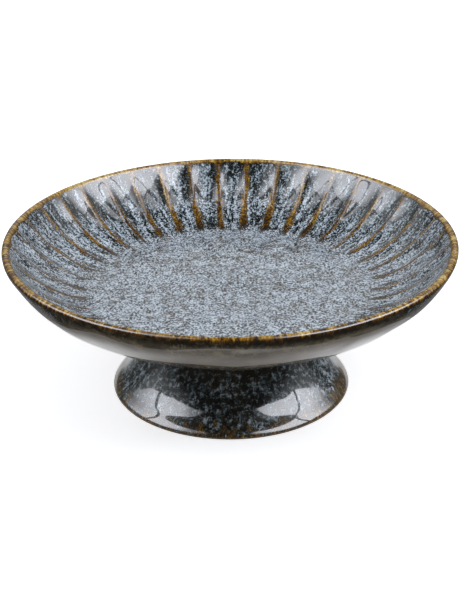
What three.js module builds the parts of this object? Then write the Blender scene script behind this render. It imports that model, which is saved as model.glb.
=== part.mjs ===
// A footed bowl in stoneware: a shallow dish with a fluted inner wall, luted with slip to a hollow flared foot.
// Millimetres, +Z up. The origin is the centre of the ring that the foot stands on.
import * as THREE from "three";

// Overall sizes
const RIM_RADIUS = 102.5;
const HEIGHT = 74;
const FOOT_HEIGHT = 40;
const SEAM_THICKNESS = 1;

// Dish
const FLOOR_THICKNESS = 8;
const FLOOR_RADIUS = 61.5;
const LIP_THICKNESS = 3.6;
const OUTER_SPREAD = 0.67; // exponents of the outer wall's curve: how fast it spreads and how late it rises
const OUTER_RISE = 1.52;
const INNER_RISE = 1.89; // exponent of the inner wall's curve
const FLUTES = 40;
const FLUTE_DEPTH = 1.6;
const FLUTE_STEPS = 5; // facets across one flute
const FLUTE_TURN = 3.4; // degrees from the X axis to a ridge

// Foot
const FOOT_RADIUS = 55.6;
const FOOT_WALL = 5;
const EDGE_RADIUS = 0.4; // rounded edge at the bottom
const RING_WIDTH = 6; // flat face that the foot stands on
const FLARE_RADIUS = 51; // where the flare lies flattest
const FLARE_HEIGHT = 5.3;
const EDGE_LEAN = 31; // degrees that the flare leans in, at its bottom edge and where it lies flattest
const FLARE_LEAN = 45.8;
const FLARE_HOLD = 0.19; // share of its chord over which the flare holds the lean of each of its ends
const NECK_RADIUS = 33.5;
const NECK_HEIGHT = 33;
const SHOULDER = 2.5; // how far the foot widens again from its neck up to the dish
const SHOULDER_LEAN = 40; // degrees that the shoulder leans out where it meets the dish
const FOOT_SEGMENTS = 80;

const glaze = new THREE.MeshStandardMaterial({ color: 0x8796a1, roughness: 0.28, metalness: 0 });
const darkGlaze = new THREE.MeshStandardMaterial({ color: 0x35393b, roughness: 0.2, metalness: 0 });
const slip = new THREE.MeshStandardMaterial({ color: 0x2b2a27, roughness: 0.3, metalness: 0 });

const seamTop = FOOT_HEIGHT + SEAM_THICKNESS;
const floorTop = seamTop + FLOOR_THICKNESS;
const lipRadius = LIP_THICKNESS / 2;
const neckInside = NECK_RADIUS - FOOT_WALL;
const seamRadius = NECK_RADIUS + SHOULDER;

const point = (r, z) => new THREE.Vector2(r, z);

// The direction up a wall that leans in by that many degrees.
const leaning = (degrees) => {
  const lean = THREE.MathUtils.degToRad(degrees);
  return point(-Math.sin(lean), Math.cos(lean));
};

// A smooth curve from one point and lean to another, each lean held for a share of the chord.
function wallCurve(start, startLean, end, endLean, hold = 1 / 3) {
  const reach = start.distanceTo(end) * hold;
  return new THREE.CubicBezierCurve(
    start,
    start.clone().addScaledVector(leaning(startLean), reach),
    end.clone().addScaledVector(leaning(endLean), -reach),
    end,
  );
}

// A solid turned about the vertical axis from a profile of (radius, height) points.
function turned(profile, segments) {
  return new THREE.LatheGeometry(profile, segments).rotateX(Math.PI / 2);
}

// The outside of the dish from the seam up to the lip, a quarter of a superellipse.
function outerWall(steps) {
  const lipCentre = HEIGHT - lipRadius;
  const points = [];
  for (let i = 0; i <= steps; i++) {
    const turn = (Math.PI / 2) * (i / steps);
    const r = seamRadius + (RIM_RADIUS - seamRadius) * Math.sin(turn) ** OUTER_SPREAD;
    const z = lipCentre - (lipCentre - seamTop) * Math.cos(turn) ** OUTER_RISE;
    points.push(point(r, z));
  }
  return points;
}

// The rounded lip, from the outside over the top to the inside.
function lip(steps) {
  const points = [];
  for (let i = 1; i <= steps; i++) {
    const turn = (Math.PI * i) / steps;
    const r = RIM_RADIUS - lipRadius + lipRadius * Math.cos(turn);
    const z = HEIGHT - lipRadius + lipRadius * Math.sin(turn);
    points.push(point(r, z));
  }
  return points;
}

// The ridges of the inside wall, from under the lip down to the floor. The share up the wall is 1 at the lip.
function innerWall(steps) {
  const top = point(RIM_RADIUS - LIP_THICKNESS, HEIGHT - lipRadius);
  const points = [];
  for (let i = 1; i <= steps; i++) {
    const up = 1 - i / steps;
    const r = FLOOR_RADIUS + (top.x - FLOOR_RADIUS) * up;
    const z = floorTop + (top.y - floorTop) * up ** INNER_RISE;
    points.push(point(r, z));
  }
  return points;
}

// How deep a flute is at that share up the wall: full a little under the lip, and running out on the floor.
function fluteRun(up) {
  return (1 - up ** 6) * (1 - (1 - up) ** 2);
}

// How far a flute is cut into the wall across its width: 0 at the ridges, 1 in its middle.
function fluteSection(angle) {
  const across = ((angle * FLUTES) / (2 * Math.PI)) % 1;
  return 1 - (2 * Math.abs(across - 0.5)) ** 2;
}

function dishGeometry() {
  const outside = outerWall(10);
  const lipPoints = lip(6);
  const inside = innerWall(9);
  const profile = [point(0, seamTop), ...outside, ...lipPoints, ...inside, point(0, floorTop)];
  const firstInner = 1 + outside.length + lipPoints.length;
  const geometry = turned(profile, FLUTES * FLUTE_STEPS);
  const position = geometry.getAttribute("position");
  for (let i = 0; i < position.count; i++) {
    const ring = (i % profile.length) - firstInner;
    if (ring < 0 || ring >= inside.length - 1) continue;
    const x = position.getX(i);
    const y = position.getY(i);
    const up = 1 - (ring + 1) / inside.length;
    const depth = FLUTE_DEPTH * fluteRun(up) * fluteSection(Math.atan2(y, x) + 2 * Math.PI);
    const scale = 1 + depth / Math.hypot(x, y);
    position.setXY(i, x * scale, y * scale);
  }
  return geometry;
}

// The flared hollow foot: outside from the base up to the seam, flat top, then the inside down again.
function footGeometry() {
  const edge = point(FOOT_RADIUS, EDGE_RADIUS);
  const flattest = point(FLARE_RADIUS, FLARE_HEIGHT);
  const neck = point(NECK_RADIUS, NECK_HEIGHT);
  const shoulder = wallCurve(neck, 0, point(seamRadius, FOOT_HEIGHT), -SHOULDER_LEAN);
  const flare = wallCurve(flattest, FLARE_LEAN, neck, 0, FLARE_HOLD);
  const flareSteps = 7;
  const hollow = [];
  for (let i = flareSteps; i >= 0; i--) {
    const along = flare.getTangent(i / flareSteps);
    hollow.push(flare.getPoint(i / flareSteps).add(point(-along.y, along.x).multiplyScalar(FOOT_WALL)));
  }
  const profile = [
    point(FOOT_RADIUS - EDGE_RADIUS, 0),
    ...wallCurve(edge, EDGE_LEAN, flattest, FLARE_LEAN).getPoints(3),
    ...flare.getPoints(flareSteps).slice(1),
    ...shoulder.getPoints(2).slice(1),
    point(neckInside, FOOT_HEIGHT),
    ...hollow,
    point(FOOT_RADIUS - EDGE_RADIUS - RING_WIDTH, 0),
    point(FOOT_RADIUS - EDGE_RADIUS, 0),
  ];
  return turned(profile, FOOT_SEGMENTS);
}

// The ring of slip between the flat faces of the dish and the foot.
function seamGeometry() {
  const profile = [
    point(neckInside, FOOT_HEIGHT),
    point(seamRadius, FOOT_HEIGHT),
    point(seamRadius, seamTop),
    point(neckInside, seamTop),
    point(neckInside, FOOT_HEIGHT),
  ];
  return turned(profile, FOOT_SEGMENTS);
}

function piece(name, geometry, material) {
  const mesh = new THREE.Mesh(geometry, material);
  mesh.name = name;
  return mesh;
}

const dish = piece("dish", dishGeometry(), glaze);
dish.rotation.z = THREE.MathUtils.degToRad(FLUTE_TURN);

const footedBowl = new THREE.Group();
footedBowl.add(dish);
footedBowl.add(piece("luting_seam", seamGeometry(), slip));
footedBowl.add(piece("foot", footGeometry(), darkGlaze));

export default footedBowl;
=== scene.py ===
"""Looks of a footed stoneware bowl: a fluted dish on a flared foot, luted with slip and glazed."""

import logging
import math
from dataclasses import dataclass
from enum import Enum
from typing import Any

import bpy
import numpy as np
from mathutils import Matrix, Vector

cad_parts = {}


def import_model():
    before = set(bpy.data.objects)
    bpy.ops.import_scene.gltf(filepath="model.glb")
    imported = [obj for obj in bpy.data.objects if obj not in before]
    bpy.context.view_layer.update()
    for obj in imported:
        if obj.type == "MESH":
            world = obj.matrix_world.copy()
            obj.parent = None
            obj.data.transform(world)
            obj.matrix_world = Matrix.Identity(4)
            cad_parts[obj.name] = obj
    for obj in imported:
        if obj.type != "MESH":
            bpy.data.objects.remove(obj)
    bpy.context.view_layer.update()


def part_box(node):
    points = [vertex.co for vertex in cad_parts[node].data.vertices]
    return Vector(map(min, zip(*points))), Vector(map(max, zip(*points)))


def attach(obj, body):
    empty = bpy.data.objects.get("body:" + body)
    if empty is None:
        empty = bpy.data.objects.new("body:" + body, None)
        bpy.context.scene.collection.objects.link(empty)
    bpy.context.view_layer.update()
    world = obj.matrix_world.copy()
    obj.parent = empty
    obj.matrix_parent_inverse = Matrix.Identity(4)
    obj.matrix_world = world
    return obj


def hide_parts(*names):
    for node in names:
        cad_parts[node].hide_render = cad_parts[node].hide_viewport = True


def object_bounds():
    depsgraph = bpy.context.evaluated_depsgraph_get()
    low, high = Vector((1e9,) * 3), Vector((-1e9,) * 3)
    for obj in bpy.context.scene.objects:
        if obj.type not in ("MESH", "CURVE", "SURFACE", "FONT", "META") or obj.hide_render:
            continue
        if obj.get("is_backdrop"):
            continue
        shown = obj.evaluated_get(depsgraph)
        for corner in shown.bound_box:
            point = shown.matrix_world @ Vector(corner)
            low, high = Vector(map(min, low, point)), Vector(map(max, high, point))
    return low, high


log = logging.getLogger("footed_bowl")

MM = 0.001
FULL_TURN = 2 * math.pi
PHOTO_HEIGHT = 600

Color = tuple[float, float, float, float]
Stops = tuple[tuple[float, Color], ...]
Axis = tuple[float, float, float]
Span = tuple[float, float]
# Azimuth, low and high elevation in degrees, and strength
Station = tuple[float, float, float, float]

ACROSS: Axis = (1.0, 0.0, 0.0)
AWAY: Axis = (0.0, 1.0, 0.0)
UPWARD: Axis = (0.0, 0.0, 1.0)


class Finish(Enum):
    """The names of the record's slots for the pieces' finishes."""

    DISH = "dish_glaze"
    FOOT = "foot_glaze"
    SEAM = "seam_slip"


def linear(red: float, green: float, blue: float) -> Color:
    """Turns a display colour into the linear colour that a shader takes.

    Args:
        red: Its red, from 0 to 255.
        green: Its green.
        blue: Its blue.

    Returns:
        The linear colour, opaque.
    """
    channels = [c / 255 for c in (red, green, blue)]
    red, green, blue = (c / 12.92 if c <= 0.04045 else ((c + 0.055) / 1.055) ** 2.4 for c in channels)
    return (red, green, blue, 1.0)


# The reactive glaze from its thinnest to its thickest
BREAKING: Stops = (
    (0.00, linear(224, 200, 124)),
    (0.08, linear(190, 148, 46)),
    (0.16, linear(142, 98, 18)),
    (0.24, linear(92, 62, 14)),
    (0.32, linear(44, 31, 8)),
    (0.40, linear(16, 14, 8)),
    (0.48, linear(21, 29, 28)),
    (0.56, linear(72, 89, 92)),
    (0.66, linear(136, 152, 157)),
    (0.80, linear(193, 207, 216)),
    (1.00, linear(220, 232, 242)),
)
OLIVE: Stops = ((0.35, linear(74, 64, 44)), (0.65, linear(116, 104, 78)))
CLAY: Stops = ((0.30, linear(148, 126, 102)), (0.70, linear(206, 186, 160)))


@dataclass(frozen=True)
class Noise:
    """A fractal noise: features to the metre, octaves above the first, and how rough those make it."""

    scale: float
    detail: float = 2.0
    rough: float = 0.6


class Signal:
    """A value that varies over a surface, so that shader maths reads as plain expressions."""

    def __init__(self, tree: "ShaderTree", socket: Any) -> None:
        """Wraps a socket of a node in that tree."""
        self.tree = tree
        self.socket = socket

    def _math(self, operation: str, first: Any, second: Any = 0.0) -> "Signal":
        """Adds one Math node.

        Args:
            operation: The node's operation.
            first: The first operand, a number or a signal.
            second: The second operand.

        Returns:
            The node's result.
        """
        return self.tree.add("ShaderNodeMath", {"operation": operation}, {0: first, 1: second})

    def __add__(self, other: Any) -> "Signal":
        """Sum."""
        return self._math("ADD", self, other)

    def __radd__(self, other: Any) -> "Signal":
        """Sum, reflected."""
        return self._math("ADD", other, self)

    def __sub__(self, other: Any) -> "Signal":
        """Difference."""
        return self._math("SUBTRACT", self, other)

    def __rsub__(self, other: Any) -> "Signal":
        """Difference, reflected."""
        return self._math("SUBTRACT", other, self)

    def __mul__(self, other: Any) -> "Signal":
        """Product."""
        return self._math("MULTIPLY", self, other)

    def __rmul__(self, other: Any) -> "Signal":
        """Product, reflected."""
        return self._math("MULTIPLY", other, self)

    def __abs__(self) -> "Signal":
        """Size without the sign."""
        return self._math("ABSOLUTE", self)

    def above(self, least: float) -> "Signal":
        """Never falls below that number."""
        return self._math("MAXIMUM", self, least)

    def ramp(self, low: Any, high: Any) -> "Signal":
        """Rises smoothly from 0 at low to 1 at high."""
        settings = {"interpolation_type": "SMOOTHSTEP"}
        return self.tree.add("ShaderNodeMapRange", settings, {0: self, 1: low, 2: high, 3: 0.0, 4: 1.0})

    def toward(self, goal: Any, share: "Signal") -> "Signal":
        """Moves towards a goal by a share of the way."""
        return self + (goal - self) * share


class ShaderTree:
    """The nodes of a material or a world, each made by one method."""

    def __init__(self, owner: Any) -> None:
        """Takes over a node tree, and empties it.

        Args:
            owner: The material or the world that the tree belongs to.
        """
        owner.use_nodes = True
        self.nodes = owner.node_tree.nodes
        self.links = owner.node_tree.links
        self.nodes.clear()

    def add(self, kind: str, settings: dict[str, Any], sockets: dict[Any, Any], output: Any = 0) -> Signal:
        """Adds a node.

        Args:
            kind: Its type.
            settings: Its own settings, set first; "stops" fills a ramp.
            sockets: Values, or signals to link, by input name or number.
            output: The output that is wanted.

        Returns:
            That output.
        """
        node = self.nodes.new(kind)
        for key, value in settings.items():
            if key == "stops":
                self._fill(node.color_ramp, value)
            else:
                setattr(node, key, value)
        for key, value in sockets.items():
            if isinstance(value, Signal):
                self.links.new(value.socket, node.inputs[key])
            else:
                node.inputs[key].default_value = value
        return Signal(self, node.outputs[output] if len(node.outputs) else None)

    @staticmethod
    def _fill(ramp: Any, stops: Stops) -> None:
        """Gives a colour ramp its stops.

        Args:
            ramp: The ramp.
            stops: Places from 0 to 1, each with its colour.
        """
        while len(ramp.elements) > 1:
            ramp.elements.remove(ramp.elements[-1])
        for index, (place, color) in enumerate(stops):
            element = ramp.elements[0] if index == 0 else ramp.elements.new(place)
            element.position = place
            element.color = color

    def spot(self) -> Signal:
        """Reads the place on the object, in metres."""
        return self.add("ShaderNodeTexCoord", {}, {}, "Object")

    def ray(self, kind: str) -> Signal:
        """Says whether the ray that looks is of that kind."""
        return self.add("ShaderNodeLightPath", {}, {}, kind)

    def mask(self, name: str) -> Signal:
        """Reads a number that the mesh carries at its points."""
        return self.add("ShaderNodeAttribute", {"attribute_name": name}, {}, "Fac")

    def place(self, name: str) -> Signal:
        """Reads a vector that the mesh carries at its points."""
        return self.add("ShaderNodeAttribute", {"attribute_name": name}, {}, "Vector")

    def along(self, vector: Signal, axis: Axis) -> Signal:
        """Measures how far a vector reaches along an axis."""
        return self.add("ShaderNodeVectorMath", {"operation": "DOT_PRODUCT"}, {0: vector, 1: axis}, "Value")

    def noise(self, where: Signal, kind: Noise) -> Signal:
        """Adds a noise at those coordinates, around 0."""
        sockets = {"Vector": where, "Scale": kind.scale, "Detail": kind.detail, "Roughness": kind.rough}
        return self.add("ShaderNodeTexNoise", {}, sockets) - 0.5

    def colors(self, where: Signal, stops: Stops) -> Signal:
        """Turns a number into a colour along a ramp."""
        return self.add("ShaderNodeValToRGB", {"stops": stops}, {0: where})

    def blend(self, share: Any, first: Any, second: Any) -> Signal:
        """Mixes two colours.

        Args:
            share: How much of the second.
            first: The first colour.
            second: The second colour.

        Returns:
            The mixed colour.
        """
        return self.add("ShaderNodeMix", {"data_type": "RGBA"}, {0: share, 6: first, 7: second}, 2)

    def surface(self, sockets: dict[str, Any]) -> None:
        """Ends the tree in a Principled surface with those inputs."""
        shader = self.add("ShaderNodeBsdfPrincipled", {}, sockets)
        self.add("ShaderNodeOutputMaterial", {}, {"Surface": shader})


@dataclass(frozen=True)
class ReactiveGlaze:
    """A glossy glaze that breaks: amber where it lies thin, then black, and pale blue where it lies thick.

    A tone is a thickness from 0 to 1, which picks the colour. A band says between which two places something
    fades in, in metres where nothing else is said.
    """

    name: str
    fine: Noise = Noise(1020, 3, 0.85)
    streaks: Noise = Noise(640, 3, 0.75)
    olive: Noise = Noise(150, 3)
    clay: Noise = Noise(900, 3)
    dimples: Noise = Noise(420, 3)
    ripples: Noise = Noise(100)
    ripple_height: float = 1.0
    relief: float = 0.3 * MM

    def thickness(self, t: ShaderTree) -> tuple[Signal, Signal]:
        """Says how thick the glaze lies, in each kind of glaze its own way.

        Args:
            t: The tree to add to.

        Returns:
            The thickness from 0 to 1, and how much of the surface is a plain olive brown.
        """
        raise NotImplementedError

    def make(self) -> Any:
        """Builds the material.

        Returns:
            The material.
        """
        material = bpy.data.materials.new(self.name)
        t = ShaderTree(material)
        thickness, plain = self.thickness(t)
        spot = t.spot()
        olive = t.colors(t.noise(spot, self.olive) + 0.5, OLIVE)
        glaze = t.blend(plain, t.colors(thickness, BREAKING), olive)
        clay = t.colors(t.noise(spot, self.clay) + 0.5, CLAY)
        bare = 1.0 - t.mask("glazed")
        height = t.noise(spot, self.dimples) + t.noise(spot, self.ripples) * self.ripple_height
        bump = t.add("ShaderNodeBump", {}, {"Strength": 0.25, "Distance": self.relief, "Height": height})
        t.surface({
            "Base Color": t.blend(bare, glaze, clay),
            "Roughness": 0.24 + bare * 0.5,
            "Normal": bump,
            "IOR": 1.5,
            "Coat Weight": 1.0 - bare,
            "Coat Roughness": 0.03,
            "Coat IOR": 1.8,
        })
        return material


@dataclass(frozen=True)
class DishGlaze(ReactiveGlaze):
    """The glaze of the dish: run off the ridges and the rim, pooled in the flutes and on the floor.

    The bands of the back, the middle and the sides are distances from the bowl's middle, and that of the
    pools is one from a ridge. Those of the wall, the brink and the ridges are shares of the way up the inner
    wall. The others count down the outside from the crest of the rim. A split says between which values of a
    noise something fades in.
    """

    ripple_height: float = 4.0
    patches: Noise = Noise(120)
    clouds: Noise = Noise(330)
    runs: Noise = Noise(300, 3, 0.7)
    web: Noise = Noise(130, 4, 0.66)
    web_patches: Noise = Noise(60, 1)
    ridge_wander: Noise = Noise(75)
    wear: Noise = Noise(150)
    nicks: Noise = Noise(1300)
    drips: Noise = Noise(700)

    floor_tone: float = 0.76
    flute_tone: float = 0.465
    black_tone: float = 0.42
    outside_tone: float = 0.37
    ridge_tone: float = 0.31
    gold_tone: float = 0.21

    back_band: Span = (0.0, 80 * MM)
    middle_band: Span = (15 * MM, 55 * MM)
    side_band: Span = (50 * MM, 90 * MM)
    wall_band: Span = (0.0, 0.2)
    wall_foot_band: Span = (0.1, 0.4)
    brink_band: Span = (0.36, 0.75)
    ridge_start_band: Span = (0.0, 0.18)
    ridge_fade_band: Span = (0.1, 0.6)
    pool_band: Span = (0.8 * MM, 4.6 * MM)
    lip_inner_band: Span = (-3.4 * MM, -2.8 * MM)
    lip_outer_band: Span = (0.8 * MM, 1.9 * MM)
    bright_band: Span = (-2.6 * MM, -1.2 * MM)
    dull_band: Span = (-0.4 * MM, 1.0 * MM)
    over_band: Span = (0.2 * MM, 1.2 * MM)
    amber_band: Span = (0.8 * MM, 4.6 * MM)
    drip_band: Span = (2.2 * MM, 5.0 * MM)
    olive_band: Span = (3.6 * MM, 7.2 * MM)
    ridge_width: float = 2.2 * MM
    ridge_narrowing: float = 1.2 * MM

    vein_split: Span = (0.0, 0.055)
    web_split: Span = (-0.14, 0.04)
    wander_split: Span = (-0.16, 0.1)
    nick_split: Span = (0.06, 0.15)
    drip_split: Span = (0.0, 0.13)

    def thickness(self, t: ShaderTree) -> tuple[Signal, Signal]:
        """Says how thick the glaze lies on the dish.

        Args:
            t: The tree to add to.

        Returns:
            The thickness, and how much of the surface is plain olive brown.
        """
        face = DishFace(t, self)
        veins = self._veins(face)
        inside = self._ridges(face, self._pools(face, veins))
        thickness = inside.toward(self._outside(face), face.run.ramp(*self.over_band))
        gold, worn = self._rim(face)
        plain = (face.run + face.streak * (7 * MM) - face.side * (4.2 * MM)).ramp(*self.olive_band)
        return thickness.toward(gold, worn), plain + veins * 0.5

    def _veins(self, face: "DishFace") -> Signal:
        """Draws patches of brown veins on the floor.

        Args:
            face: The dish's surface.

        Returns:
            How much of each spot is a vein.
        """
        web = abs(face.t.noise(face.spot, self.web)).ramp(*self.vein_split)
        patches = face.t.noise(face.spot, self.web_patches).ramp(*self.web_split)
        return (1.0 - web) * patches * (1.0 - face.wall)

    def _pools(self, face: "DishFace", veins: Signal) -> Signal:
        """Says how thick the glaze lies on the floor and in the flutes.

        Args:
            face: The dish's surface.
            veins: The veins on the floor.

        Returns:
            The thickness.
        """
        floor = self.floor_tone + face.broad * 0.55 + face.cloud * 2.0 - veins * 0.34
        brink = face.up.ramp(*self.brink_band) * (0.25 + 0.75 * face.back - face.middle * 0.5)
        flute = self.flute_tone + face.pool * 0.20 + face.broad * 0.4 + face.cloud * 0.9
        flute = flute - brink * 0.20 - face.back * 0.02 - face.middle * 0.075
        wall_foot = 1.0 - (face.up + face.broad * 0.4).ramp(*self.wall_foot_band)
        flute = flute - wall_foot * (0.05 + face.back * 0.11)
        grain = face.fine.toward(face.streak * 1.5, face.wall * 0.22)
        contrast = 9.2 - face.wall * 1.2 - face.back * face.wall * 1.6 - brink * 4.0
        return (floor.toward(flute, face.wall) + grain * contrast).above(self.black_tone)

    def _ridges(self, face: "DishFace", inside: Signal) -> Signal:
        """Thins the glaze along the ridges between the flutes, in an uneven line.

        Args:
            face: The dish's surface.
            inside: The thickness on the floor and in the flutes.

        Returns:
            The thickness with the ridges.
        """
        wander = face.t.noise(face.flow, self.ridge_wander).ramp(*self.wander_split)
        width = self.ridge_width - face.up * self.ridge_narrowing
        width = width * (0.45 + 0.2 * face.back + 0.2 * face.middle + 0.5 * wander)
        line = 1.0 - (face.crest + (face.streak + face.fine) * (4 * MM)).ramp(width * 0.6, width)
        line = line * (face.up + face.broad * 0.3 + face.streak * 0.15).ramp(*self.ridge_start_band)
        tone = self.ridge_tone - face.up.ramp(*self.ridge_fade_band) * 0.09
        tone = tone + face.fine * 1.1 + face.cloud * 0.3
        return inside.toward(tone, line)

    def _outside(self, face: "DishFace") -> Signal:
        """Says how thick the glaze lies on the outside, in a dark band that drips.

        Args:
            face: The dish's surface.

        Returns:
            The thickness.
        """
        amber = 1.0 - face.jagged.ramp(*self.amber_band)
        drips = face.t.noise(face.flow, self.drips).ramp(*self.drip_split)
        drips = drips * face.jagged.ramp(*self.drip_band)
        return self.outside_tone + face.streak * 0.35 - amber * 0.11 + drips * (0.12 + face.side * 0.22)

    def _rim(self, face: "DishFace") -> tuple[Signal, Signal]:
        """Wears the glaze thin over the lip, in a ragged line with nicks in it.

        Args:
            face: The dish's surface.

        Returns:
            The thickness on the lip, and how much of each spot is worn to it.
        """
        wear = face.t.noise(face.flow, self.wear)
        ragged = face.run + (face.streak + wear) * (1.6 * MM)
        inner = (face.jagged - face.pool * (0.8 * MM)).ramp(*self.lip_inner_band)
        outer = 1.0 - (ragged - face.side * (0.7 * MM)).ramp(*self.lip_outer_band)
        nicks = face.t.noise(face.flow, self.nicks).ramp(*self.nick_split)
        gold = self.gold_tone - face.back * 0.04 - ragged.ramp(*self.bright_band) * 0.10
        gold = gold + ragged.ramp(*self.dull_band) * (0.10 - face.side * 0.07)
        gold = gold + face.streak * 0.8 + wear * 0.5 + face.fine * 0.4
        return gold, inner * outer * (1.0 - nicks * 0.4)


class DishFace:
    """What the dish's glaze reads at each spot: where on the dish it is, and the noises that break it up."""

    def __init__(self, t: ShaderTree, glaze: DishGlaze) -> None:
        """Adds the nodes.

        Args:
            t: The tree to add to.
            glaze: The glaze that reads them.
        """
        self.t = t
        self.spot = t.spot()
        self.flow = t.place("flow")
        self.run, self.up, self.crest = (t.mask(name) for name in ("run", "up", "crest"))
        self.fine = t.noise(self.spot, glaze.fine)
        self.streak = t.noise(self.flow, glaze.streaks)
        self.broad = t.noise(self.spot, glaze.patches)
        self.wall = (self.up + self.broad * 0.1).ramp(*glaze.wall_band)
        self.cloud = t.noise(self.spot, glaze.clouds).toward(t.noise(self.flow, glaze.runs) * 1.9, self.wall)
        self.pool = (self.crest + self.broad * (4 * MM)).ramp(*glaze.pool_band)
        self.jagged = self.run + self.streak * (3 * MM)
        aside = abs(t.along(self.spot, ACROSS))
        self.back = t.along(self.spot, AWAY).ramp(*glaze.back_band)
        self.middle = (1.0 - aside.ramp(*glaze.middle_band)) * self.back
        self.side = aside.ramp(*glaze.side_band)


@dataclass(frozen=True)
class FootGlaze(ReactiveGlaze):
    """The glaze of the foot: dark, speckled with blue, mottled with amber towards its bottom edge.

    The bands of the neck's painted shade and of the olive, partly a painted sheen, count up the outside from
    that edge, and that of the side is a distance from the foot's middle.
    """

    fine: Noise = Noise(1122, 3, 0.85)
    patches: Noise = Noise(110, 3)
    blotches: Noise = Noise(420, 2, 0.5)
    crackle: Noise = Noise(240, 3)
    amber_wander: Noise = Noise(330, 3)

    body_tone: float = 0.50
    black_tone: float = 0.39
    crack_tone: float = 0.32
    amber_tone: float = 0.24

    side_band: Span = (10 * MM, 50 * MM)
    neck_shade_band: Span = (20 * MM, 36 * MM)
    olive_band: Span = (22 * MM, 34 * MM)
    crack_split: Span = (0.012, 0.055)
    amber_height: float = 5.5 * MM
    amber_side_height: float = 4.0 * MM
    amber_edge: float = 3.0 * MM

    def thickness(self, t: ShaderTree) -> tuple[Signal, Signal]:
        """Says how thick the glaze lies on the foot.

        Args:
            t: The tree to add to.

        Returns:
            The thickness, and how much of the surface is plain olive brown.
        """
        spot, flow, run = t.spot(), t.place("flow"), t.mask("run")
        fine, streak = t.noise(spot, self.fine), t.noise(flow, self.streaks)
        broad = t.noise(spot, self.patches)
        side = t.along(spot, ACROSS).ramp(*self.side_band)
        # Painted shade: towards the neck, under the dish, the glaze is painted darker and less speckled.
        neck = run.ramp(*self.neck_shade_band)
        grain = fine.toward(streak, 0.3 + side * 0.3) * (2.0 - neck)
        body = self.body_tone + broad * 0.5 + t.noise(spot, self.blotches) * 1.1 + grain
        body = (body + side * 0.20 - neck * 0.06).above(self.black_tone)
        cracks = (1.0 - abs(t.noise(spot, self.crackle)).ramp(*self.crack_split)) * side
        body = body.toward(self.crack_tone + fine * 0.6, cracks * 0.75)
        left = self.amber_height + side * self.amber_side_height - run
        amber = (left + t.noise(flow, self.amber_wander) * (30 * MM)).ramp(0.0, self.amber_edge)
        body = body.toward(self.amber_tone + streak * 1.1 + fine * 1.5, amber * 0.9)
        # The plain olive towards the neck is partly the glaze and partly a painted sheen.
        plain = (run + broad * (20 * MM)).ramp(*self.olive_band) * 0.25 + amber * 0.35
        return body, plain


def bezier(start: np.ndarray, start_lean: float, end: np.ndarray, end_lean: float, steps: int,
           hold: float = 1 / 3) -> np.ndarray:
    """Points along a smooth wall.

    Args:
        start: Its first point, radius and height.
        start_lean: How many degrees it leans in there.
        end: Its last point.
        end_lean: How many degrees it leans in there.
        steps: How many spans.
        hold: The share of the chord over which it holds the lean of each end.

    Returns:
        The points, first and last included.
    """
    reach = float(np.hypot(*(end - start))) * hold
    leans = [np.array([-math.sin(a), math.cos(a)]) for a in map(math.radians, (start_lean, end_lean))]
    first, second = start + leans[0] * reach, end - leans[1] * reach
    t = np.linspace(0, 1, steps + 1)[:, None]
    return (1 - t) ** 3 * start + 3 * (1 - t) ** 2 * t * first + 3 * (1 - t) * t**2 * second + t**3 * end


def lengths(profile: np.ndarray) -> np.ndarray:
    """Measures how far along a profile each of its points lies."""
    return np.concatenate([[0.0], np.cumsum(np.hypot(*np.diff(profile, axis=0).T))])


def leans_out(profile: np.ndarray) -> np.ndarray:
    """Gives the outward direction at each point of a profile.

    Args:
        profile: The points, radius and height, with the outside on the right going up.

    Returns:
        The directions, each 1 long.
    """
    along = np.gradient(profile, axis=0)
    along /= np.maximum(np.hypot(*along.T), 1e-12)[:, None]
    return np.stack([along[:, 1], -along[:, 0]], -1)


def fade(distance: np.ndarray, reach: float) -> np.ndarray:
    """Rises in a straight line from 0 to 1 over a reach, and stays within them."""
    return np.clip(distance / reach, 0, 1)


def swept(radius: Any, height: np.ndarray, angles: np.ndarray) -> np.ndarray:
    """Places rings of points round the vertical axis.

    Args:
        radius: One number, or one for each ring, or for each ring and segment.
        height: One number for each ring, or for each ring and segment.
        angles: The angle of each segment.

    Returns:
        The points, ring by ring.
    """
    radius, height, angles = np.broadcast_arrays(radius, height, angles[None])
    return np.stack([radius * np.cos(angles), radius * np.sin(angles), height], -1).reshape(-1, 3)


def meshed(name: str, points: list[Any], faces: list[Any], material: Any) -> Any:
    """Puts a mesh in the scene.

    Args:
        name: Its name.
        points: Its points.
        faces: The numbers of each face's points.
        material: Its material.

    Returns:
        Its object.
    """
    made = bpy.data.meshes.new(name)
    made.from_pydata(points, [], faces)
    made.materials.append(material)
    piece = bpy.data.objects.new(name, made)
    bpy.context.scene.collection.objects.link(piece)
    return piece


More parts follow.
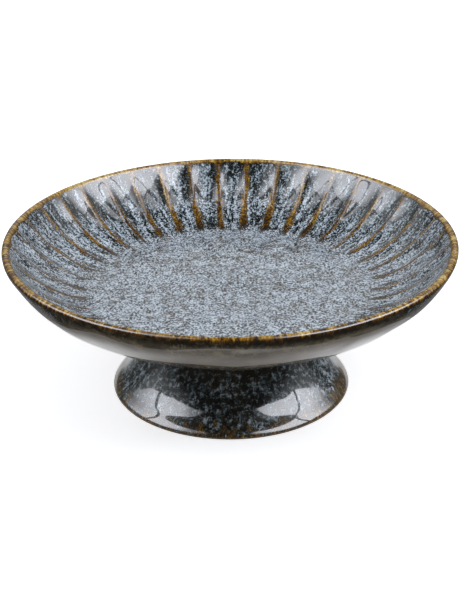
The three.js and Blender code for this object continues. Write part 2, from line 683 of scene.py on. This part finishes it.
@dataclass
class Turned:
    """A piece turned about the vertical axis, as rings of points."""

    seed: int = 1
    wave_count: int = 40
    wave_lengths: Span = (11 * MM, 45 * MM)
    slope: float = 0.0022
    fall: float = 0.28

    def waves(self, angles: np.ndarray, travelled: np.ndarray, reach: float) -> np.ndarray:
        """Slow waves that the potter's hands and the glaze leave on a surface.

        Args:
            angles: The angle of each segment.
            travelled: How far along the profile each ring lies.
            reach: The piece's radius.

        Returns:
            The height of the waves at each ring and segment, in metres.
        """
        random = np.random.default_rng(self.seed)
        height = np.zeros((len(travelled), len(angles)))
        for _ in range(self.wave_count):
            length = random.uniform(*self.wave_lengths)
            turn, phase = random.uniform(0, FULL_TURN, 2)
            around = round(FULL_TURN * reach * math.cos(turn) / length)
            wave = around * angles[None] + FULL_TURN * math.sin(turn) / length * travelled[:, None] + phase
            height += self.slope * length / FULL_TURN * np.cos(wave)
        return height

    @staticmethod
    def faces(rings: int, segments: int, capped: bool) -> list[list[int]]:
        """Joins rings of points into faces.

        Args:
            rings: How many rings.
            segments: How many points in each.
            capped: Whether a point on the axis closes each end. Otherwise the last ring joins the first.

        Returns:
            The faces.
        """
        here = np.arange(segments)
        after = np.roll(here, -1)
        faces: list[list[int]] = []
        for ring in range(rings - 1 if capped else rings):
            low, high = ring * segments, (ring + 1) % rings * segments
            faces.extend(np.stack([low + here, low + after, high + after, high + here], -1).tolist())
        if capped:
            last, end = (rings - 1) * segments, rings * segments
            pairs = list(zip(here.tolist(), after.tolist()))
            faces.extend([end, b, a] for a, b in pairs)
            faces.extend([end + 1, last + a, last + b] for a, b in pairs)
        return faces

    def mesh(self, name: str, profile: np.ndarray, angles: np.ndarray, masks: dict[str, Any], capped: bool,
             glaze: ReactiveGlaze, radial: Any = 0.0, swell: Any = 0.0) -> Any:
        """Sweeps a profile round the axis, and glazes it.

        Args:
            name: The piece's name.
            profile: Radius and height of each ring, in metres.
            angles: The angle of each segment.
            masks: Numbers for each ring and segment that the glaze reads.
            capped: Whether a point on the axis closes each end. Otherwise the last ring joins the first.
            glaze: The glaze.
            radial: How far each point moves away from the axis.
            swell: How far each point moves out of the surface.

        Returns:
            The piece's object.
        """
        shape = (len(profile), len(angles))
        out = leans_out(profile)
        radius, height = (profile[:, i:i + 1] + out[:, i:i + 1] * swell for i in (0, 1))
        points = swept(radius + radial, height, angles)
        flow = swept(profile[:, 0].max(), self.fall * lengths(profile)[:, None], angles)
        values = {key: np.broadcast_to(value, shape).ravel() for key, value in masks.items()}
        if capped:
            ends = [0, len(points) - len(angles)]
            points = np.concatenate([points, [(0, 0, profile[0, 1]), (0, 0, profile[-1, 1])]])
            flow = np.concatenate([flow, flow[ends]])
            values = {key: np.concatenate([value, value[ends]]) for key, value in values.items()}
        piece = meshed(name, points.tolist(), self.faces(*shape, capped), glaze.make())
        attributes = piece.data.attributes
        for key, value in values.items():
            attributes.new(key, "FLOAT", "POINT").data.foreach_set("value", value.astype(np.float32))
        vectors = flow.astype(np.float32).ravel()
        attributes.new("flow", "FLOAT_VECTOR", "POINT").data.foreach_set("vector", vectors)
        piece.data.shade_smooth()
        piece.data.validate()
        return piece

    @staticmethod
    def stand_in(piece: Any, node: str, slot: Finish) -> Any:
        """Puts a piece in place of its CAD node.

        Args:
            piece: The piece.
            node: The CAD node that it stands for.
            slot: The record's slot of its finish; not used.

        Returns:
            The piece.
        """
        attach(piece, "root")
        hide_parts(node)
        return piece


@dataclass
class Dish(Turned):
    """The shallow dish: smooth outside, rounded lip, fluted inner wall and flat floor.

    The outer wall is a quarter of a superellipse with the exponents spread and rise. The inner wall rises by
    the exponent inner_rise, and from the share blend_from of its reach it bends over into the lip.
    """

    seed: int = 5
    flutes: int = 40
    flute_turn: float = math.radians(3.4)
    flute_depth: float = 1.6 * MM
    flute_steps: int = 24
    flute_wander: float = 0.035
    flute_unevenness: float = 0.12
    ridge_rounding: float = 0.2
    lip_thickness: float = 3.6 * MM
    floor_thickness: float = 8 * MM
    floor_radius: float = 61.5 * MM
    seam_radius: float = 36 * MM
    hub_radius: float = 1 * MM
    spread: float = 0.67
    rise: float = 1.52
    inner_rise: float = 1.89
    lip_turn: float = math.radians(140)
    blend_from: float = 0.75
    outside_waves: float = 2.2
    seam_calm: float = 6 * MM
    crest_calm: float = 8 * MM
    shrink: float = 0.1 * MM
    under_rings: int = 15
    outer_rings: int = 90
    outer_crowding: float = 1.15
    lip_rings: int = 16
    blend_spans: int = 30
    inner_rings: int = 80
    floor_rings: int = 49

    def profile(self) -> tuple[np.ndarray, int, int, int]:
        """Draws the dish's section, from under its middle round the lip to the middle of its floor.

        Returns:
            The points, and the numbers of the lip's first point, of its crest and of the inner wall's first.
        """
        low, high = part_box("dish")
        rim, top, under = high.x, high.z, low.z
        half = self.lip_thickness / 2
        centre = top - half
        floor = under + self.floor_thickness
        bottom = np.linspace(self.hub_radius, self.seam_radius, self.under_rings + 1)[:-1]
        turn = np.linspace(0, 1, self.outer_rings) ** self.outer_crowding * (math.pi / 2)
        outer = np.stack([self.seam_radius + (rim - self.seam_radius) * np.sin(turn) ** self.spread,
                          centre - (centre - under) * np.abs(np.cos(turn)) ** self.rise], -1)
        arc = np.linspace(0, self.lip_turn, self.lip_rings + 1)[1:]
        lip = np.stack([rim - half + half * np.cos(arc), centre + half * np.sin(arc)], -1)
        reach, climb = rim - self.lip_thickness - self.floor_radius, centre - floor
        up = np.linspace(self.blend_from, 0, self.inner_rings)
        inner = np.stack([self.floor_radius + reach * up, floor + climb * up**self.inner_rise], -1)
        steepness = climb * self.inner_rise * self.blend_from ** (self.inner_rise - 1) / reach
        wall_lean, lip_lean = math.degrees(math.atan(steepness)) - 90, math.degrees(self.lip_turn) - 180
        blend = bezier(inner[0], wall_lean, lip[-1], lip_lean, self.blend_spans)[-2:0:-1]
        flat = np.linspace(self.floor_radius, self.hub_radius, self.floor_rings + 1)[1:]
        under_face = np.stack([bottom, np.full_like(bottom, under)], -1)
        floor_face = np.stack([flat, np.full_like(flat, floor)], -1)
        first = len(under_face) + len(outer)
        crest = first + int(np.argmax(lip[:, 1]))
        section = np.concatenate([under_face, outer, lip, blend, inner, floor_face])
        return section, first, crest, first + len(lip)

    def segments(self, random: np.random.Generator) -> tuple[np.ndarray, np.ndarray]:
        """Spreads the segments over flutes of slightly uneven width, closer together towards the ridges.

        Args:
            random: Draws the uneven widths.

        Returns:
            The angle of each segment, and how far across its flute it lies, from 0 to 1.
        """
        across = 0.5 + 0.5 * np.sin(math.pi * (np.arange(self.flute_steps) / self.flute_steps - 0.5))
        starts = np.arange(self.flutes) + random.uniform(-self.flute_wander, self.flute_wander, self.flutes)
        widths = np.diff(np.append(starts, starts[0] + self.flutes))
        angles = (starts[:, None] + across * widths[:, None]).ravel() * (FULL_TURN / self.flutes)
        return angles + self.flute_turn, np.tile(across, self.flutes)

    def scoop(self, across: np.ndarray) -> np.ndarray:
        """Says how deep a flute is cut across its width.

        Args:
            across: Places from one ridge, at 0, to the next, at 1.

        Returns:
            The depths: 0 at the rounded ridges and 1 in the middle.
        """
        aside = 2 * np.abs(across - 0.5)
        rounding = self.ridge_rounding
        ridge = rounding + (1 / rounding - 1) * (1 - aside) ** 2
        return (np.where(aside < 1 - rounding, 1 - aside**2, ridge) - rounding) / (1 - rounding)

    def build(self) -> Any:
        """Makes the dish in place of its CAD node.

        Returns:
            The dish's object.
        """
        profile, lip, crest, wall = self.profile()
        random = np.random.default_rng(self.seed)
        angles, across = self.segments(random)
        depth = random.uniform(1 - self.flute_unevenness, 1 + self.flute_unevenness, self.flutes)
        depth = np.repeat(depth, self.flute_steps) * self.scoop(across)

        rings = np.arange(len(profile))
        radii = profile[:, 0]
        rim = radii.max()
        up = fade(radii - self.floor_radius, rim - self.lip_thickness - self.floor_radius)
        up = np.where(rings >= wall, up, np.where(rings < lip, 0.0, 1.0))
        share = np.where(rings >= wall, (1 - up**6) * (1 - (1 - up) ** 2), 0.0)
        cut = self.flute_depth * share[:, None] * depth[None]

        travelled = lengths(profile)
        run = travelled[crest] - travelled
        masks = {
            "run": run[:, None],
            "up": up[:, None],
            "crest": (0.5 - np.abs(across - 0.5)) * (FULL_TURN / self.flutes) * profile[:, :1],
            "glazed": 1.0,
        }
        free = fade(np.abs(radii - self.seam_radius), self.seam_calm) * fade(np.abs(run), self.crest_calm)
        free = free * np.where(rings < lip, self.outside_waves, 1.0)
        swell = (self.waves(angles, travelled, rim) - self.shrink) * free[:, None]
        glaze = DishGlaze("dish_reactive_glaze")
        piece = self.mesh("dish_glazed", profile, angles, masks, True, glaze, cut, swell)
        return self.stand_in(piece, "dish", Finish.DISH)


@dataclass
class Foot(Turned):
    """The flared hollow foot, bare on the ring that it stands on.

    Leans are in degrees, inwards going up. The flare holds its leans over the share flare_hold of its chord.
    """

    seed: int = 9
    slope: float = 0.0013
    fall: float = 0.4
    segments: int = 720
    wall: float = 5 * MM
    edge: float = 0.4 * MM
    ring_width: float = 6 * MM
    flare_radius: float = 51 * MM
    flare_height: float = 5.3 * MM
    edge_lean: float = 31.0
    flare_lean: float = 45.8
    flare_hold: float = 0.19
    neck_radius: float = 33.5 * MM
    neck_height: float = 33 * MM
    shoulder: float = 2.5 * MM
    shoulder_lean: float = 40.0
    bare_outside: float = 0.9 * MM
    bare_inside: float = 4 * MM
    hollow_run: float = 30 * MM
    base_calm: float = 6 * MM
    seam_calm: float = 4 * MM
    shrink: float = 0.04 * MM
    corner_rings: int = 6
    roll_spans: int = 24
    flare_spans: int = 60
    shoulder_spans: int = 16
    standing_rings: int = 7

    def profile(self) -> tuple[np.ndarray, int]:
        """Draws the foot's section: up the outside from its edge, over its flat top and down the hollow.

        Returns:
            The points, and how many of them are on the outside.
        """
        _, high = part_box("foot")
        base, top = high.x, high.z
        flattest = np.array([self.flare_radius, self.flare_height])
        neck = np.array([self.neck_radius, self.neck_height])
        turn = np.linspace(-math.pi / 2, 0, self.corner_rings + 1)[:-1]
        corner = np.stack([base - self.edge + self.edge * np.cos(turn),
                           self.edge + self.edge * np.sin(turn)], -1)
        start, end = np.array([base, self.edge]), np.array([self.neck_radius + self.shoulder, top])
        roll = bezier(start, self.edge_lean, flattest, self.flare_lean, self.roll_spans)
        flare = bezier(flattest, self.flare_lean, neck, 0, self.flare_spans, self.flare_hold)
        shoulder = bezier(neck, 0, end, -self.shoulder_lean, self.shoulder_spans)
        outside = np.concatenate([corner, roll, flare[1:], shoulder[1:]])
        throat = np.array([[self.neck_radius - self.wall, top]])
        hollow = (flare - self.wall * leans_out(flare))[::-1]
        ring = np.linspace(base - self.edge - self.ring_width, base - self.edge, self.standing_rings + 1)[:-1]
        standing = np.stack([ring, np.zeros_like(ring)], -1)
        return np.concatenate([outside, throat, hollow, standing]), len(outside)

    def build(self) -> Any:
        """Makes the foot in place of its CAD node.

        Returns:
            The foot's object.
        """
        profile, outer = self.profile()
        heights = profile[:, 1]
        outside = np.arange(len(profile)) < outer
        travelled = lengths(profile)
        bare_inside = fade(2 * (self.bare_inside - heights), self.bare_inside)
        bare = np.where(outside, fade(self.bare_outside - heights, self.bare_outside), bare_inside)
        masks = {
            "run": np.where(outside, travelled, self.hollow_run)[:, None],
            "glazed": 1 - bare[:, None],
        }
        free = fade(heights, self.base_calm) * fade(heights.max() - heights, self.seam_calm)
        angles = np.arange(self.segments) * (FULL_TURN / self.segments)
        swell = (self.waves(angles, travelled, profile[:, 0].max()) - self.shrink) * free[:, None]
        glaze = FootGlaze("foot_reactive_glaze")
        piece = self.mesh("foot_glazed", profile, angles, masks, False, glaze, 0.0, swell)
        return self.stand_in(piece, "foot", Finish.FOOT)


@dataclass
class Seam(Turned):
    """The ring of slip between the dish and the foot."""

    segments: int = 360
    glaze_run: float = 30 * MM

    def build(self) -> Any:
        """Makes the seam in place of its CAD node.

        Returns:
            The seam's object.
        """
        low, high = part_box("luting_seam")
        outer, inner = high.x, Foot.neck_radius - Foot.wall
        profile = np.array([(inner, low.z), (outer, low.z), (outer, high.z), (inner, high.z)])
        angles = np.arange(self.segments) * (FULL_TURN / self.segments)
        masks = {"run": self.glaze_run, "glazed": 1.0}
        piece = self.mesh("seam_glazed", profile, angles, masks, False, FootGlaze("seam_reactive_glaze"))
        return self.stand_in(piece, "luting_seam", Finish.SEAM)


@dataclass(frozen=True)
class Softbox:
    """A glowing panel beside the bowl, stretched through stations round it, as the bowl sees them.

    Above its high elevation the glow fades out over the degrees of fade.
    """

    name: str
    stations: tuple[Station, ...]
    fade: float = 0.0
    distance: float = 1.9
    tint: Axis = (0.91, 0.93, 1.0)

    def hang(self) -> Any:
        """Makes the panel.

        Returns:
            The panel's object.
        """
        points, glows = [], []
        for azimuth, low, high, strength in self.stations:
            for elevation, share in ((low, 1.0), (high, 1.0), (high + self.fade, 0.0)):
                across, up = math.radians(azimuth), math.radians(elevation)
                direction = (math.sin(across) * math.cos(up), -math.cos(across) * math.cos(up), math.sin(up))
                points.append([self.distance * c for c in direction])
                glows.append(strength * share)
        rows = len(points) // len(self.stations)
        bands = (0, 1) if self.fade else (0,)
        starts = [start + band for start in range(0, len(points) - rows, rows) for band in bands]
        faces = [(start, start + 1, start + rows + 1, start + rows) for start in starts]
        material = bpy.data.materials.new(self.name)
        t = ShaderTree(material)
        color = t.add("ShaderNodeVectorMath", {"operation": "SCALE"}, {0: self.tint, "Scale": t.mask("glow")})
        t.add("ShaderNodeOutputMaterial", {}, {"Surface": t.add("ShaderNodeEmission", {}, {"Color": color})})
        panel = meshed(self.name, points, faces, material)
        panel.data.attributes.new("glow", "FLOAT", "POINT").data.foreach_set("value", glows)
        panel.visible_camera = False
        panel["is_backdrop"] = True
        return panel


@dataclass
class Studio:
    """The camera of the photograph, four panels on each side, a white backdrop and a white table.

    The camera stands at so many times the bowl's radius from the middle of its rim. The table's bands are
    distances from its middle, and that of the strip of painted shadow from the camera's line over it. The
    bands of the room are sines of how far a direction points up, or away from the camera.
    """

    distance: float = 6.0
    elevation: float = math.radians(23.07)
    pitch: float = math.radians(25.81)
    roll: float = math.radians(-0.5)
    yaw: float = math.radians(-0.021)
    focal_pixels: float = 1357.7
    sensor: float = 36.0
    top_radius: float = 105.5 * MM
    floor_radius: float = 1.6
    table_steps: int = 256
    table_glow: float = 0.62
    shadow_strip_band: Span = (10 * MM, 75 * MM)
    far_band: Span = (72 * MM, 100 * MM)
    edge_band: Span = (100 * MM, 101.5 * MM)
    glow_band: Span = (78 * MM, 103.5 * MM)
    fill: float = 0.028
    backdrop: float = 0.384
    beyond: float = 0.224
    horizon_band: Span = (-0.05, 0.0)
    rise_band: Span = (0.2, 0.38)
    top_band: Span = (0.60, 0.72)
    behind_band: Span = (-0.1, 0.25)
    beyond_band: Span = (0.5, 0.95)
    panels: tuple[Softbox, ...] = (
        Softbox("left_front", ((-88, 27.0, 57, 4.6), (-72, 33.0, 59, 4.4), (-60, 37.4, 60, 3.9),
                               (-48, 41.2, 57, 1.6), (-26, 46.5, 51, 0.4))),
        Softbox("left_back", ((-91, 26.0, 56, 4.3), (-100, 22.3, 54, 3.3), (-110, 18, 50, 2.0),
                              (-119, 15, 44, 0.8))),
        Softbox("left_front_top", ((-81, 58, 76, 2.8), (-70, 59.5, 76, 2.9), (-58, 60.5, 75, 2.2),
                                   (-30, 54, 72, 0.1)), fade=11.0),
        Softbox("left_back_top", ((-97, 56, 76, 2.3), (-105, 53.5, 74, 2.0), (-120, 45, 68, 0.8)), fade=11.0),
        Softbox("right_front", ((22, 47.0, 51, 0.8), (30, 45.0, 53, 3.5), (45, 41.0, 58, 4.8),
                                (60, 36.3, 60, 5.0), (79, 30.0, 56, 5.2))),
        Softbox("right_back", ((81.5, 29.2, 55, 5.5), (95, 24.6, 54, 4.6), (104, 21.2, 52, 2.9),
                               (110, 19, 50, 1.6), (115, 17, 44, 0.7))),
        Softbox("right_front_top", ((30, 54, 72, 0.1), (58, 60.5, 75, 2.2), (68, 59, 76, 2.9),
                                    (73, 58.5, 76, 2.8)), fade=11.0),
        Softbox("right_back_top", ((90, 56, 76, 2.3), (105, 53.5, 74, 2.0), (120, 45, 68, 0.8)), fade=11.0),
    )

    def camera(self) -> None:
        """Places the camera where the photograph was taken from."""
        _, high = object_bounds()
        reach = high.x
        data = bpy.data.cameras.new("photo_camera")
        data.sensor_width = self.sensor
        data.lens = self.focal_pixels * self.sensor / PHOTO_HEIGHT
        data.clip_start, data.clip_end = 0.01, 20
        camera = bpy.data.objects.new("photo_camera", data)
        bpy.context.scene.collection.objects.link(camera)
        forward = Vector((0, math.cos(self.pitch), -math.sin(self.pitch)))
        right = Vector((1, 0, 0))
        up = right.cross(forward)
        forward, right = (forward * math.cos(self.yaw) + right * math.sin(self.yaw),
                          right * math.cos(self.yaw) - forward * math.sin(self.yaw))
        across = right * math.cos(self.roll) + up * math.sin(self.roll)
        upright = up * math.cos(self.roll) - right * math.sin(self.roll)
        place = Vector((0, -self.distance * reach * math.cos(self.elevation),
                        high.z + self.distance * reach * math.sin(self.elevation)))
        camera.matrix_world = Matrix((
            (across.x, upright.x, -forward.x, place.x),
            (across.y, upright.y, -forward.y, place.y),
            (across.z, upright.z, -forward.z, place.z),
            (0, 0, 0, 1),
        ))
        bpy.context.scene.camera = camera

    def white(self) -> Any:
        """Makes the table's white. The glaze mirrors it with a painted shadow of the dish in a strip before
        the bowl, darker further out, and with painted light beside that strip.

        Returns:
            The material.
        """
        material = bpy.data.materials.new("table_white")
        t = ShaderTree(material)
        seen, mirrored = t.ray("Is Camera Ray"), t.ray("Is Glossy Ray")
        spot = t.spot()
        radius = t.add("ShaderNodeVectorMath", {"operation": "LENGTH"}, {0: spot}, "Value")
        # Painted shadow of the dish: the glaze mirrors the table darker in a strip before the bowl and
        # further out.
        strip = 1.0 - abs(t.along(spot, ACROSS)).ramp(*self.shadow_strip_band)
        dim = strip * 0.3 + radius.ramp(*self.far_band) * 0.5
        # Near the edge of the top the painted shadow lifts into a lighter line.
        dim = dim * (1.0 - radius.ramp(*self.edge_band) * strip * 0.8)
        # Painted light: the glaze mirrors the table brighter beside the strip.
        lit = mirrored * (1.0 - strip) * (1.0 - radius.ramp(*self.glow_band)) * 0.6
        t.surface({
            "Base Color": t.blend(mirrored * dim, linear(240, 240, 240), linear(112, 109, 104)),
            "Emission Color": t.blend(seen + lit, linear(0, 0, 0), linear(255, 255, 255)),
            "Emission Strength": self.table_glow,
            "Roughness": 0.7,
            "Specular IOR Level": 0.0,
        })
        return material

    def table(self) -> None:
        """Lays a white table under the bowl: a round top that the glaze mirrors, and plain floor round it."""
        white = self.white()
        steps = self.table_steps
        turn = [FULL_TURN * i / steps for i in range(steps)]
        top, outer = ([(math.cos(a) * r, math.sin(a) * r, 0.0) for a in turn]
                      for r in (self.top_radius, self.floor_radius))
        ring = [(steps + i, steps + (i + 1) % steps, (i + 1) % steps, i) for i in range(steps)]
        for name, points, faces in (("table_top", top, [tuple(range(steps))]), ("floor", top + outer, ring)):
            piece = meshed(name, points, faces, white)
            piece.visible_glossy = name == "table_top"
            piece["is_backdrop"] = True

    def world(self) -> None:
        """Fills the room with soft light and a bright backdrop, and shows white to the camera."""
        world = bpy.data.worlds.new("studio")
        bpy.context.scene.world = world
        t = ShaderTree(world)
        direction = t.add("ShaderNodeTexCoord", {}, {}, "Generated")
        height, away = t.along(direction, UPWARD), t.along(direction, AWAY)
        above_table = height.ramp(*self.horizon_band)
        behind = away.ramp(*self.behind_band) * (0.15 + 0.85 * height.ramp(*self.rise_band))
        behind = behind * above_table * (1.0 - height.ramp(*self.top_band))
        beyond = (1.0 - above_table) * away.ramp(*self.beyond_band)
        light = self.fill + behind * (self.backdrop - self.fill) + beyond * self.beyond
        background = t.add("ShaderNodeBackground", {}, {"Color": light.toward(1.0, t.ray("Is Camera Ray"))})
        t.add("ShaderNodeOutputWorld", {}, {"Surface": background})

    def build(self) -> None:
        """Sets up the whole studio."""
        bpy.context.scene.view_settings.view_transform = "Standard"
        self.camera()
        for panel in self.panels:
            panel.hang()
        self.table()
        self.world()


def main() -> None:
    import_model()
    for part in (Dish(), Seam(), Foot()):
        piece = part.build()
        log.info("%s: %d faces", piece.name, len(piece.data.polygons))
    Studio().build()


if __name__ == "__main__":
    logging.basicConfig(level=logging.INFO, format="%(name)s: %(message)s")
    main()
